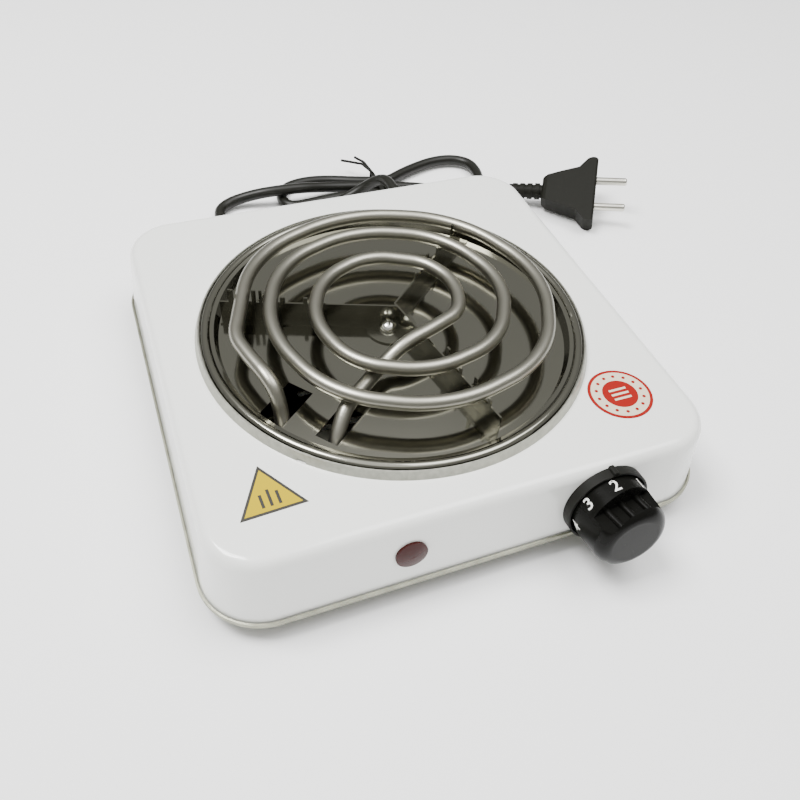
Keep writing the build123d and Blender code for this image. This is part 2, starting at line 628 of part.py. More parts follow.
with BuildPart() as cord_gland:
    with BuildSketch(turning_plane(GLAND)):
        with BuildLine():
            Polyline(
                (0, -GLAND_INSIDE), (GLAND_BARREL, -GLAND_INSIDE), (GLAND_BARREL, 0),
                (GLAND_FLANGE[0], 0), GLAND_FLANGE, (BOOT_BACK, GLAND_FLANGE[1]),
                (BOOT_TIP, BOOT_LENGTH), (0, BOOT_LENGTH), (0, -GLAND_INSIDE),
            )
        make_face()
    revolve(axis=axis_of(GLAND))
    for ring in range(BOOT_RINGS):
        reach = GLAND_FLANGE[1] + 3 + 4 * ring
        with BuildSketch(GLAND.offset(reach)):
            Circle(BOOT_BACK + 1)
            Circle(BOOT_TIP - 0.2, mode=Mode.SUBTRACT)
            Rectangle(4, 2 * BOOT_BACK + 2, mode=Mode.SUBTRACT)
        extrude(amount=1.6, mode=Mode.SUBTRACT)
finish(cord_gland, "cord_gland")
CORD_EXIT = GLAND.offset(BOOT_LENGTH)

# ---------------------------------------------------------------- wiring inside the body
BLOCK_SIZE = (26.0, 14.0, 12.0)
BLOCK_AT = (34.0, 80.0)
with BuildPart() as terminal_block:
    with BuildSketch(Plane(origin=(*BLOCK_AT, BASE_TOP))):
        RectangleRounded(BLOCK_SIZE[0], BLOCK_SIZE[1], 1.5)
    extrude(amount=BLOCK_SIZE[2])
    with BuildSketch(Plane(origin=(*BLOCK_AT, BASE_TOP + BLOCK_SIZE[2]))):
        with GridLocations(10, 1, 2, 1):
            Circle(2.2)
    extrude(amount=-6, mode=Mode.SUBTRACT)
finish(terminal_block, "terminal_block")

# ---------------------------------------------------------------- plug
PLUG_LENGTH = 34.0              # front face to where the ribbed relief begins
WING_HALF = 23.2                # half of the width over both wings
PLUG_HALF_DEPTH = 6.4           # half of the plug's thickness at the front
PLUG_HALF_NECK = 4.6            # and at the neck
RELIEF_LENGTH = 21.3
RELIEF_RADIUS = 5.2
RELIEF_RIBS = 4
RIB_PITCH = 4.8
PIN_SIZE = (2.4, 19.0)          # radius, length outside the plug
PIN_PITCH = 19.0
heading = radians(PLUG_HEADING)
rise = radians(PLUG_RISE)
PLUG_AXIS = Vector(cos(rise) * cos(heading), cos(rise) * sin(heading), sin(rise))
PLUG_SIDE = Vector(0, 0, 1).cross(PLUG_AXIS).normalized()
PLUG_ACROSS = PLUG_SIDE.rotate(Axis((0, 0, 0), PLUG_AXIS), PLUG_ROLL)
PLUG = Plane(origin=PLUG_FACE, x_dir=PLUG_ACROSS, z_dir=PLUG_AXIS)
PLUG_SEAM = turning_plane(PLUG)
PLUG_THIN = Plane(origin=PLUG_FACE, x_dir=PLUG.y_dir, z_dir=PLUG.x_dir)

with BuildPart() as plug_body:
    with BuildSketch(PLUG_SEAM):
        with BuildLine():
            Line((0, 0), (WING_HALF - 0.9, 0))
            ThreePointArc((WING_HALF - 0.9, 0), (WING_HALF, -3.5), (WING_HALF - 1.6, -7))
            Line((WING_HALF - 1.6, -7), (15.6, -11.6))
            Polyline((15.6, -11.6), (9.4, -31), (7.4, -PLUG_LENGTH), (0, -PLUG_LENGTH), (0, 0))
        make_face()
        mirror(about=Plane.YZ)
    extrude(amount=PLUG_HALF_DEPTH, both=True)
    with BuildSketch(PLUG_THIN):
        with BuildLine():
            Polyline(
                (PLUG_HALF_DEPTH, 0), (PLUG_HALF_DEPTH, -9), (PLUG_HALF_DEPTH + 0.6, -12),
                (PLUG_HALF_NECK + 1.2, -31), (PLUG_HALF_NECK, -PLUG_LENGTH),
                (-PLUG_HALF_NECK, -PLUG_LENGTH), (-PLUG_HALF_NECK - 1.2, -31),
                (-PLUG_HALF_DEPTH - 0.6, -12), (-PLUG_HALF_DEPTH, -9), (-PLUG_HALF_DEPTH, 0),
                close=True,
            )
        make_face()
    extrude(amount=30, both=True, mode=Mode.INTERSECT)
    fillet(plug_body.edges().filter_by(lambda edge: edge.length > 14), radius=2)
    with BuildSketch(PLUG.offset(-PLUG_LENGTH)):
        Circle(RELIEF_RADIUS - 1)
    extrude(amount=-RELIEF_LENGTH)
    for rib in range(RELIEF_RIBS):
        with BuildSketch(PLUG.offset(-PLUG_LENGTH - 1.6 - RIB_PITCH * rib)):
            Circle(RELIEF_RADIUS - 0.15 * rib)
        extrude(amount=-3)
finish(plug_body, "plug_body")

with BuildPart() as plug_pins:
    with BuildSketch(PLUG):
        with GridLocations(PIN_PITCH, 1, 2, 1):
            Circle(PIN_SIZE[0])
    extrude(amount=PIN_SIZE[1])
    fillet(plug_pins.edges().filter_by(GeomType.CIRCLE).group_by(Axis(PLUG_FACE, PLUG_AXIS))[-1], radius=1.4)
finish(plug_pins, "plug_pins")
RELIEF_END = PLUG.offset(-PLUG_LENGTH - RELIEF_LENGTH)

# ---------------------------------------------------------------- free cord
# The lead drops from the gland into a loose hank, tied once; the tail rises from the tie in
# an arch and comes round to the plug. All three are the same round cord.
exit_point = CORD_EXIT.origin
LEAD_ROUTE = (
    tuple(exit_point), tuple(exit_point + CORD_EXIT.z_dir * 9.5),
    (49.5, 154, 21), (42.5, 160, 13.5), (32, 161, 7), (20, 159.5, 5),
)
relief_point = RELIEF_END.origin
TAIL_ROUTE = (
    (62, 174.5, 4.6), (74.5, 181, 4.6), (87, 186, 4.6), (100.8, 189.8, 4.7), (115, 189, 4.8),
    (124.8, 181.3, 5), (125.4, 169, 5.2), (121.5, 156, 5.6),
    tuple(relief_point - PLUG_AXIS * 10), tuple(relief_point),
)
cord_lead = make_tube(LEAD_ROUTE, CORD_RADIUS)
finish(cord_lead, "cord_lead")
cord_tail = make_tube(TAIL_ROUTE, CORD_RADIUS)
finish(cord_tail, "cord_tail")

HANK_HEIGHT = 13.6
TIE_X = 54.0
TIE_Y = 171.3
WAIST = (16.0, 20.6, 6.9)       # along x, across, height of the three strands side by side
WAIST_LOW = 1.0                 # the tie's own thickness lifts them off the floor
LEFT_LOOPS = ((-41, 166, 12.6), (8, 176.8, 16.2), (31, 184.5, 4), (42.5, 177.6, 3.5), (42.5, 161.5, 3.5))
RIGHT_LOOP = ((78, 145, 22.5), (65.5, 165, 3.5), (65.5, 156, 3.5))

with BuildPart() as cord_hank:
    with BuildSketch(Plane.XY):
        for x, y, radius in LEFT_LOOPS:
            with Locations((x, y)):
                Circle(radius)
        make_hull()
    extrude(amount=HANK_HEIGHT)
    with BuildSketch(Plane.XY):
        for x, y, radius in RIGHT_LOOP:
            with Locations((x, y)):
                Circle(radius)
        make_hull()
    extrude(amount=CORD_DIAMETER + 1)
    with BuildSketch(Plane.XY.offset(WAIST_LOW)):
        with Locations((TIE_X, TIE_Y)):
            Rectangle(WAIST[0], WAIST[1])
    extrude(amount=WAIST[2])
    add(cord_lead.part, mode=Mode.SUBTRACT)
    add(cord_tail.part, mode=Mode.SUBTRACT)
finish(cord_hank, "cord_hank")

TIE_SHEET = 0.9
TIE_WIDTH = 2.4
TIE_GAP = 0.05
TIE_ENDS = (
    ((54, 180.4, 9.1), (50.5, 188, 13), (46, 194, 14)),
    ((54, 180.4, 9.1), (49, 187, 12.5), (39, 200.5, 9)),
)
TIE_WIRE_RADIUS = 0.8
with BuildPart() as twist_tie:
    with BuildSketch(Plane(origin=(TIE_X, TIE_Y, WAIST_LOW + WAIST[2] / 2), x_dir=(0, 1, 0), z_dir=(1, 0, 0))):
        RectangleRounded(WAIST[1] + 2 * (TIE_SHEET + TIE_GAP), WAIST[2] + 2 * (TIE_SHEET + TIE_GAP), 1.2)
        Rectangle(WAIST[1] + 2 * TIE_GAP, WAIST[2] + 2 * TIE_GAP, mode=Mode.SUBTRACT)
    extrude(amount=TIE_WIDTH / 2, both=True)
    for points in TIE_ENDS:
        with BuildLine() as end_line:
            FilletPolyline(*points, radius=[3])
        with BuildSketch(Plane(origin=end_line.line @ 0, z_dir=end_line.line % 0)):
            Circle(TIE_WIRE_RADIUS)
        sweep(path=end_line.line)
finish(twist_tie, "twist_tie")

# ---------------------------------------------------------------- wires inside the body
WIRE_RADIUS = WIRE_DIAMETER / 2
STAT_BACK = CONTROL.offset(-STAT_FACE - STAT_SIZE[2] - BLADE_REACH)
STAT_SIDE = CONTROL.offset(-STAT_FACE - STAT_SIZE[2] / 2)
LAMP_BACK = LAMP.offset(-LENS_DEPTH - HOLDER[1])
GLAND_BACK = GLAND.offset(-GLAND_INSIDE)
BLOCK_LEFT = BLOCK_AT[0] - BLOCK_SIZE[0] / 2
BLOCK_REAR = BLOCK_AT[1] + BLOCK_SIZE[1] / 2
BLOCK_FRONT = BLOCK_AT[1] - BLOCK_SIZE[1] / 2
WIRE_HEIGHT = BASE_TOP + 6
PIN_TIPS = [end.offset(PIN_LENGTH) for end in COIL_ENDS]


def beyond(plane, across, reach):
    """Point at a distance along a plane's normal, shifted across it."""
    point = plane.origin + plane.x_dir * across + plane.z_dir * reach
    return (point.X, point.Y, point.Z)


def run_wires(label, *routes):
    """One node of insulated wires, each from one terminal to another."""
    with BuildPart() as wires:
        for route in routes:
            add(make_tube(route, WIRE_RADIUS).part)
    finish(wires, label)


run_wires(
    "inlet_wires",
    (beyond(GLAND_BACK, -1.8, 0), beyond(GLAND_BACK, -1.8, -3), (39, 97, WIRE_HEIGHT), (39, BLOCK_REAR, WIRE_HEIGHT)),
    (beyond(GLAND_BACK, 1.8, 0), beyond(GLAND_BACK, 1.8, -3), (29, 98, WIRE_HEIGHT), (29, BLOCK_REAR, WIRE_HEIGHT)),
)
run_wires(
    "live_wire",
    (
        (39, BLOCK_FRONT, WIRE_HEIGHT), (39, 61, WIRE_HEIGHT), (60, 34, 18), (72, -18, 20),
        beyond(STAT_BACK, 7, -18), beyond(STAT_BACK, 7, 0),
    ),
)
run_wires(
    "switched_wire",
    (
        beyond(PIN_TIPS[1], 0, 0), beyond(PIN_TIPS[1], 0, 8), (-67, -92, 22), (-46, -93, 14.6),
        (0, -84, 14), (34, -52, 16), beyond(STAT_BACK, -7, -14), beyond(STAT_BACK, -7, 0),
    ),
)
run_wires(
    "neutral_wire",
    (
        beyond(PIN_TIPS[0], 0, 0), beyond(PIN_TIPS[0], 0, 8), (-98, -57, 25), (-100, -34, 20),
        (-88, 6, 18), (-50, 36, 20), (0, 46, 21), (22, 56, 19.5), (29, 62, WIRE_HEIGHT), (29, BLOCK_FRONT, WIRE_HEIGHT),
    ),
)
run_wires(
    "lamp_wires",
    (
        beyond(LAMP_BACK, 2.5, 0), beyond(LAMP_BACK, 2.5, -9), (-12, -78, 25), (14, -82, 25),
        beyond(STAT_SIDE, -STAT_SIZE[0] / 2 - 11, 0), beyond(STAT_SIDE, -STAT_SIZE[0] / 2, 0),
    ),
    (
        beyond(LAMP_BACK, -2.5, 0), beyond(LAMP_BACK, -2.5, -9), (-32, -58, 21), (-15, -15, 16),
        (0, 30, 15.5), (5, 68, 16), (12, 80, WIRE_HEIGHT), (BLOCK_LEFT, 80, WIRE_HEIGHT),
    ),
)
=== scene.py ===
"""Looks for a single-coil electric hot plate, from its base plate to its cord and plug."""

import math

import bpy
import numpy as np
from mathutils import Matrix, Vector


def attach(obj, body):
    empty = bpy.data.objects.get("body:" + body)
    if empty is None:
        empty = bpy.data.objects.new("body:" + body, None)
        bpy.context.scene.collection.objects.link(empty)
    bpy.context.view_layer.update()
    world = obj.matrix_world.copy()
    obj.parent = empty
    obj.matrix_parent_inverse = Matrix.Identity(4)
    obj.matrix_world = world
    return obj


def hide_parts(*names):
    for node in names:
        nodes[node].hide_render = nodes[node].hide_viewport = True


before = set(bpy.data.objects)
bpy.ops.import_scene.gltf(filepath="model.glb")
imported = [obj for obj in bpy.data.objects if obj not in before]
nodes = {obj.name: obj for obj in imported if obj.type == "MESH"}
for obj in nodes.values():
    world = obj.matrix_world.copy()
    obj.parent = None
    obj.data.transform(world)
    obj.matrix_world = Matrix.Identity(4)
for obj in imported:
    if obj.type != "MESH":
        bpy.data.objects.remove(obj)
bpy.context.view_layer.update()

# ------------------------------------------------------------------ camera
# The view comes from over the front left corner and looks down at about 47 degrees, from
# near enough that the sides of the body run together towards the rear.
CAMERA_PLACE = (-109.19, -255.77, 290.35)
CAMERA_RIGHT = (0.93343, -0.35411, 0.05750)
CAMERA_BACK = (-0.28066, -0.62099, 0.73184)


def mm(*values):
    """Millimetres to metres."""
    return tuple(value / 1000 for value in values)


camera_data = bpy.data.cameras.new("camera")
camera_data.lens = 35.53
camera_data.sensor_width = 36
camera = bpy.data.objects.new("camera", camera_data)
bpy.context.collection.objects.link(camera)
back = Vector(CAMERA_BACK).normalized()
up = back.cross(Vector(CAMERA_RIGHT)).normalized()
right = up.cross(back)
turned = Matrix((right, up, back)).transposed().to_4x4()
camera.matrix_world = Matrix.Translation(mm(*CAMERA_PLACE)) @ turned
bpy.context.scene.camera = camera

# ------------------------------------------------------------------ base plate and bridge
# Galvanised sheet steel, cut and bent. It is a dull grey with a patchwork of zinc crystals
# about 6 mm across. The bridge under the pan is made of the same sheet.
CRYSTAL_SIZE = 6.25
# A Mix node gives its colour sockets the same names as its number sockets, so these are counted.
MIX_FIRST = 6
MIX_SECOND = 7
MIX_RESULT = 2


def node(material, kind, inputs=None, **settings):
    """Add a shader node, set its options and its unlinked inputs, and return it."""
    made = material.node_tree.nodes.new(kind)
    for name, value in settings.items():
        setattr(made, name, value)
    for name, value in (inputs or {}).items():
        if isinstance(value, bpy.types.NodeSocket):
            material.node_tree.links.new(value, made.inputs[name])
        else:
            made.inputs[name].default_value = value
    return made


def paint(hex_code):
    """sRGB hex code to a linear colour."""
    channels = [int(hex_code[i:i + 2], 16) / 255 for i in (0, 2, 4)]
    return (*[c / 12.92 if c <= 0.04045 else ((c + 0.055) / 1.055) ** 2.4 for c in channels], 1)


def new_material(name):
    """An empty material and its principled shader."""
    material = bpy.data.materials.new(name)
    material.use_nodes = True
    return material, material.node_tree.nodes["Principled BSDF"]


def wear(material, *names):
    """Put one material on the whole of the named CAD nodes."""
    for name in names:
        slots = nodes[name].data.materials
        slots.clear()
        slots.append(material)


galvanised, shader = new_material("dull_galvanised_sheet")
shader.inputs["Metallic"].default_value = 1.0
place = node(galvanised, "ShaderNodeTexCoord")
spangle = node(
    galvanised, "ShaderNodeTexVoronoi",
    {"Vector": place.outputs["Object"], "Scale": 1000 / CRYSTAL_SIZE},
)
mix = node(galvanised, "ShaderNodeMix", {"Factor": spangle.outputs["Distance"]}, data_type="RGBA")
mix.inputs[MIX_FIRST].default_value = paint("8d8d7e")
mix.inputs[MIX_SECOND].default_value = paint("a9a998")
galvanised.node_tree.links.new(mix.outputs[MIX_RESULT], shader.inputs["Base Color"])
shader.inputs["Roughness"].default_value = 0.46
wear(galvanised, "base_plate", "pan_bridge")

# ------------------------------------------------------------------ screws, posts and shaft
# Turned and pressed steel parts, zinc plated: a light grey metal whose gloss is a little
# uneven from the plating bath.


def surface_grain(material, shader, grain_mm, smoothest, dullest, depth_mm):
    """Fine unevenness of a made surface: noise of one grain size moves the gloss and the height."""
    place = node(material, "ShaderNodeTexCoord")
    noise = node(
        material, "ShaderNodeTexNoise",
        {"Vector": place.outputs["Object"], "Scale": 1000 / grain_mm, "Detail": 4.0},
    )
    gloss = node(
        material, "ShaderNodeMapRange",
        {"Value": noise.outputs["Fac"], "To Min": smoothest, "To Max": dullest},
    )
    relief = node(
        material, "ShaderNodeBump",
        {"Height": noise.outputs["Fac"], "Strength": 0.3, "Distance": depth_mm / 1000},
    )
    material.node_tree.links.new(gloss.outputs["Result"], shader.inputs["Roughness"])
    material.node_tree.links.new(relief.outputs["Normal"], shader.inputs["Normal"])


zinc, shader = new_material("zinc_plated_steel")
shader.inputs["Metallic"].default_value = 1.0
shader.inputs["Base Color"].default_value = paint("b4b4ae")
surface_grain(zinc, shader, grain_mm=2.0, smoothest=0.24, dullest=0.4, depth_mm=0.03)
wear(
    zinc, "foot_screws", "corner_posts", "terminal_pins", "centre_washer", "centre_nut",
    "thermostat_bracket", "bushing_nut", "control_shaft", "lamp_clip",
)

# ------------------------------------------------------------------ feet
# Moulded black rubber feet, one near each corner, each held by a screw. Rubber is dull and
# takes the fine grain of the mould.
foot_rubber, shader = new_material("matte_black_rubber")
shader.inputs["Base Color"].default_value = paint("22221f")
surface_grain(foot_rubber, shader, grain_mm=1.2, smoothest=0.66, dullest=0.86, depth_mm=0.06)
wear(foot_rubber, "rubber_feet")

# ------------------------------------------------------------------ ceramic pieces
# Unglazed steatite, off-white and dull: the bushes of the coil's ends, the body of the heat
# switch and the mains block.
steatite, shader = new_material("white_steatite")
shader.inputs["Base Color"].default_value = paint("ddd6c6")
surface_grain(steatite, shader, grain_mm=1.5, smoothest=0.5, dullest=0.72, depth_mm=0.05)
wear(steatite, "terminal_bushes", "thermostat_base", "terminal_block")

# ------------------------------------------------------------------ switch brass
# The heat switch has stamped blades and a turned bushing in plain brass, which is a warm
# yellow metal with a soft shine.
brass, shader = new_material("bright_brass")
shader.inputs["Metallic"].default_value = 1.0
shader.inputs["Base Color"].default_value = paint("c9a457")
surface_grain(brass, shader, grain_mm=2.5, smoothest=0.18, dullest=0.34, depth_mm=0.02)
wear(brass, "thermostat_blades", "thermostat_bushing")

# ------------------------------------------------------------------ wires
# The wires run in sleeves of woven glass, which is off-white and dull. The weave shows as a
# slight roughness.
sleeve, shader = new_material("woven_wire_sleeve")
shader.inputs["Base Color"].default_value = paint("d6cfbf")
surface_grain(sleeve, shader, grain_mm=0.9, smoothest=0.7, dullest=0.9, depth_mm=0.12)
wear(sleeve, "inlet_wires", "live_wire", "switched_wire", "neutral_wire", "lamp_wires")

# ------------------------------------------------------------------ body shell
# Pressed steel box in gloss white enamel. The fired coat is smooth, with the faint long waves
# that enamel has, here about 4 mm apart.
ENAMEL_WAVE = 3.85
enamel, shader = new_material("gloss_white_enamel")
shader.inputs["Base Color"].default_value = paint("f1f2ee")
shader.inputs["Roughness"].default_value = 0.16
shader.inputs["Coat Weight"].default_value = 0.5
shader.inputs["Coat Roughness"].default_value = 0.06
place = node(enamel, "ShaderNodeTexCoord")
peel = node(
    enamel, "ShaderNodeTexNoise",
    {"Vector": place.outputs["Object"], "Scale": 1000 / ENAMEL_WAVE, "Detail": 2.0},
)
bump = node(
    enamel, "ShaderNodeBump",
    {"Height": peel.outputs["Fac"], "Strength": 0.05, "Distance": 0.0003},
)
enamel.node_tree.links.new(bump.outputs["Normal"], shader.inputs["Normal"])
wear(enamel, "body_shell")

# ------------------------------------------------------------------ trim ring
# Rolled bright steel strip round the pan. It is scuffed, so its brightness changes every two
# or three millimetres.
SCUFF_SIZE = 2.38
rolled, shader = new_material("scuffed_rolled_steel")
shader.inputs["Metallic"].default_value = 1.0
place = node(rolled, "ShaderNodeTexCoord")
scuff = node(
    rolled, "ShaderNodeTexNoise",
    {"Vector": place.outputs["Object"], "Scale": 1000 / SCUFF_SIZE, "Detail": 6.0},
)
tone = node(rolled, "ShaderNodeMix", {"Factor": scuff.outputs["Fac"]}, data_type="RGBA")
tone.inputs[MIX_FIRST].default_value = paint("8f8f85")
tone.inputs[MIX_SECOND].default_value = paint("c9c9bf")
rolled.node_tree.links.new(tone.outputs[MIX_RESULT], shader.inputs["Base Color"])
dull = node(
    rolled, "ShaderNodeMapRange",
    {"Value": scuff.outputs["Fac"], "To Min": 0.30, "To Max": 0.48},
)
rolled.node_tree.links.new(dull.outputs["Result"], shader.inputs["Roughness"])
wear(rolled, "trim_ring")

# ------------------------------------------------------------------ drip pan
# Deep-drawn bright steel dish, nearly a mirror, so the coil and the spider show in it upside
# down. Drawing leaves it slightly hazy in patches and gives it slow waves.
SMEAR_SIZE = 18.2
WAVE_LENGTH = 45.5
mirror, shader = new_material("bright_pressed_steel")
shader.inputs["Metallic"].default_value = 1.0
shader.inputs["Base Color"].default_value = paint("8b8a80")
place = node(mirror, "ShaderNodeTexCoord")
smear = node(
    mirror, "ShaderNodeTexNoise",
    {"Vector": place.outputs["Object"], "Scale": 1000 / SMEAR_SIZE, "Detail": 4.0},
)
haze = node(
    mirror, "ShaderNodeMapRange",
    {"Value": smear.outputs["Fac"], "To Min": 0.05, "To Max": 0.16},
)
mirror.node_tree.links.new(haze.outputs["Result"], shader.inputs["Roughness"])
wave = node(
    mirror, "ShaderNodeTexNoise",
    {"Vector": place.outputs["Object"], "Scale": 1000 / WAVE_LENGTH, "Detail": 1.0},
)
bump = node(
    mirror, "ShaderNodeBump",
    {"Height": wave.outputs["Fac"], "Strength": 0.08, "Distance": 0.002},
)
mirror.node_tree.links.new(bump.outputs["Normal"], shader.inputs["Normal"])
wear(mirror, "drip_pan")

# ------------------------------------------------------------------ spider and centre bolt
# Bent strips of bright sheet that stand on edge, a little darker than the pan, and a chromed
# bolt in their middle, which is the brightest metal here.
strip, shader = new_material("bright_sheet_strip")
shader.inputs["Metallic"].default_value = 1.0
shader.inputs["Base Color"].default_value = paint("807f74")
surface_grain(strip, shader, grain_mm=6.0, smoothest=0.11, dullest=0.24, depth_mm=0.03)
wear(strip, "coil_spider")

chrome, shader = new_material("chromed_bolt")
shader.inputs["Metallic"].default_value = 1.0
shader.inputs["Base Color"].default_value = paint("dcdcd6")
surface_grain(chrome, shader, grain_mm=5.0, smoothest=0.04, dullest=0.09, depth_mm=0.01)
wear(chrome, "centre_bolt")

# ------------------------------------------------------------------ heating coil
# Satin steel sheath, bent from one straight tube. Its tone drifts a little from the heat, and
# its skin has a fine grain.
TINT_PATCH = 28.6
SHEATH_GRAIN = 0.714
satin, shader = new_material("satin_drawn_steel")
shader.inputs["Metallic"].default_value = 1.0
place = node(satin, "ShaderNodeTexCoord")
tint = node(
    satin, "ShaderNodeTexNoise",
    {"Vector": place.outputs["Object"], "Scale": 1000 / TINT_PATCH, "Detail": 3.0},
)
tone = node(satin, "ShaderNodeMix", {"Factor": tint.outputs["Fac"]}, data_type="RGBA")
tone.inputs[MIX_FIRST].default_value = paint("8d8b80")
tone.inputs[MIX_SECOND].default_value = paint("a3a196")
satin.node_tree.links.new(tone.outputs[MIX_RESULT], shader.inputs["Base Color"])
shader.inputs["Roughness"].default_value = 0.34
fine = node(
    satin, "ShaderNodeTexNoise",
    {"Vector": place.outputs["Object"], "Scale": 1000 / SHEATH_GRAIN, "Detail": 2.0},
)
bump = node(
    satin, "ShaderNodeBump",
    {"Height": fine.outputs["Fac"], "Strength": 0.15, "Distance": 0.00015},
)
satin.node_tree.links.new(bump.outputs["Normal"], shader.inputs["Normal"])
wear(satin, "heating_coil")

# ------------------------------------------------------------------ bezel, lamp holder and tie
# Small black parts in a satin plastic: the fixed ring behind the knob, the holder of the lamp
# and the coating of the wire tie round the cord.
bezel_black, shader = new_material("satin_black_plastic")
shader.inputs["Base Color"].default_value = paint("161613")
surface_grain(bezel_black, shader, grain_mm=1.4, smoothest=0.42, dullest=0.6, depth_mm=0.04)
shader.inputs["Specular IOR Level"].default_value = 0.16
wear(bezel_black, "knob_bezel", "lamp_holder", "twist_tie")

# ------------------------------------------------------------------ knob and its numerals
# Moulded black phenolic, glossy. White numerals are printed round its barrel, with their tops
# towards the body, and turn with it. They stand 45 degrees apart from 0 to 5.
knob_black, shader = new_material("gloss_black_phenolic")
shader.inputs["Base Color"].default_value = paint("0d0d0b")
surface_grain(knob_black, shader, grain_mm=2.2, smoothest=0.18, dullest=0.32, depth_mm=0.02)
shader.inputs["Specular IOR Level"].default_value = 0.1
wear(knob_black, "knob")

WALL_LEAN = 4
WALL_HEIGHT = 34.9
TAPER = math.atan(WALL_LEAN / WALL_HEIGHT)
KNOB_ORIGIN = Vector(mm(52.4, -110.143, 27))
KNOB_OUT = Vector((0, -math.cos(TAPER), math.sin(TAPER)))
KNOB_RIGHT = Vector((1, 0, 0))
KNOB_UP = KNOB_OUT.cross(KNOB_RIGHT)
BARREL_RADIUS = 16.62
NUMERAL_HEIGHT = 5.2
NUMERAL_REACH = 7.6
NUMERAL_COUNT = 6
CAPITAL_SHARE = 0.7
STROKE_SPREAD = 0.08
INK = 0.06
FIRST_NUMERAL = 8
NUMERAL_STEP = 45
# White printing ink, flat and matt.
numeral_white, shader = new_material("printed_white")
shader.inputs["Base Color"].default_value = paint("f4f4ee")
surface_grain(numeral_white, shader, grain_mm=1.5, smoothest=0.42, dullest=0.6, depth_mm=0.01)


def wrapped_numeral(digit, angle):
    """A numeral printed on the barrel: its x runs round the barrel, its y points to the wall.

    A flat outline point (x, y) goes to radius r, turn angle - x / r and distance reach - y.
    """
    outline = bpy.data.curves.new(f"outline_{digit}", "FONT")
    outline.body = str(digit)
    outline.size = NUMERAL_HEIGHT / CAPITAL_SHARE / 1000
    outline.align_x = "CENTER"
    outline.offset = STROKE_SPREAD / 1000
    flat = bpy.data.objects.new(f"outline_{digit}", outline)
    bpy.context.collection.objects.link(flat)
    bpy.context.view_layer.update()
    mesh = bpy.data.meshes.new_from_object(flat.evaluated_get(bpy.context.evaluated_depsgraph_get()))
    bpy.data.objects.remove(flat)
    places = np.empty(len(mesh.vertices) * 3)
    mesh.vertices.foreach_get("co", places)
    places = places.reshape(-1, 3)
    radius = (BARREL_RADIUS + INK) / 1000
    turn = math.radians(angle) - places[:, 0] / radius
    reach = (NUMERAL_REACH + NUMERAL_HEIGHT / 2) / 1000 - places[:, 1]
    wrapped = (
        np.array(KNOB_ORIGIN)
        + radius * np.outer(np.cos(turn), KNOB_RIGHT)
        + radius * np.outer(np.sin(turn), KNOB_UP)
        + np.outer(reach, KNOB_OUT)
    )
    mesh.vertices.foreach_set("co", wrapped.ravel())
    mesh.materials.clear()
    mesh.materials.append(numeral_white)
    mesh.update()
    numeral = bpy.data.objects.new(f"numeral_{digit}", mesh)
    bpy.context.collection.objects.link(numeral)
    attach(numeral, "knob")


for digit in range(NUMERAL_COUNT):
    wrapped_numeral(digit, FIRST_NUMERAL + NUMERAL_STEP * digit)

# ------------------------------------------------------------------ power lamp
# Dark red moulded plastic lens over a small neon bulb. The plastic is glossy. The lens and
# the bulb's glass are drawn here as opaque.
red_lens, shader = new_material("dark_red_lens")
shader.inputs["Base Color"].default_value = paint("38100d")
surface_grain(red_lens, shader, grain_mm=3.0, smoothest=0.08, dullest=0.18, depth_mm=0.01)
shader.inputs["Specular IOR Level"].default_value = 0.2
wear(red_lens, "lamp_lens")

bulb_glass, shader = new_material("neon_glass")
shader.inputs["Base Color"].default_value = paint("e8c9a0")
surface_grain(bulb_glass, shader, grain_mm=3.0, smoothest=0.07, dullest=0.14, depth_mm=0.01)
wear(bulb_glass, "lamp_bulb")

# ------------------------------------------------------------------ labels
# Two printed stickers: a yellow triangle with a dark border and three plain bars, and a red
# roundel with a cream band of red dots and three bars. None of the marks is a letter.
# Printing ink on film gives flat colours with a soft, low sheen.
LABEL_TOP = 45.85
PRINT_LIFT = 0.03
label_yellow, shader = new_material("yellow_label_print")
shader.inputs["Base Color"].default_value = paint("b8a000")
surface_grain(label_yellow, shader, grain_mm=3.0, smoothest=0.42, dullest=0.6, depth_mm=0.01)
shader.inputs["Specular IOR Level"].default_value = 0.1
label_red, shader = new_material("red_label_print")
shader.inputs["Base Color"].default_value = paint("8c1a14")
surface_grain(label_red, shader, grain_mm=3.0, smoothest=0.42, dullest=0.6, depth_mm=0.01)
shader.inputs["Specular IOR Level"].default_value = 0.1
label_cream, shader = new_material("cream_label_print")
shader.inputs["Base Color"].default_value = paint("d8ccb4")
surface_grain(label_cream, shader, grain_mm=3.0, smoothest=0.42, dullest=0.6, depth_mm=0.01)
shader.inputs["Specular IOR Level"].default_value = 0.1
label_black, shader = new_material("black_label_print")
shader.inputs["Base Color"].default_value = paint("26241c")
surface_grain(label_black, shader, grain_mm=3.0, smoothest=0.34, dullest=0.5, depth_mm=0.01)
wear(label_black, "triangle_label")
wear(label_red, "round_label")


def printed_patch(name, outline, material, layer):
    """A flat printed area from its outline in millimetres, a little above the label's face."""
    height = LABEL_TOP + PRINT_LIFT * layer
    mesh = bpy.data.meshes.new(name)
    mesh.from_pydata([mm(x, y, height) for x, y in outline], [], [range(len(outline))])
    mesh.materials.append(material)
    patch = bpy.data.objects.new(name, mesh)
    bpy.context.collection.objects.link(patch)
    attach(patch, "body")


def ring_outline(centre, radius, sides=72):
    """Points anticlockwise round a circle."""
    turns = [2 * math.pi * step / sides for step in range(sides)]
    return [
        (centre[0] + radius * math.cos(turn), centre[1] + radius * math.sin(turn))
        for turn in turns
    ]


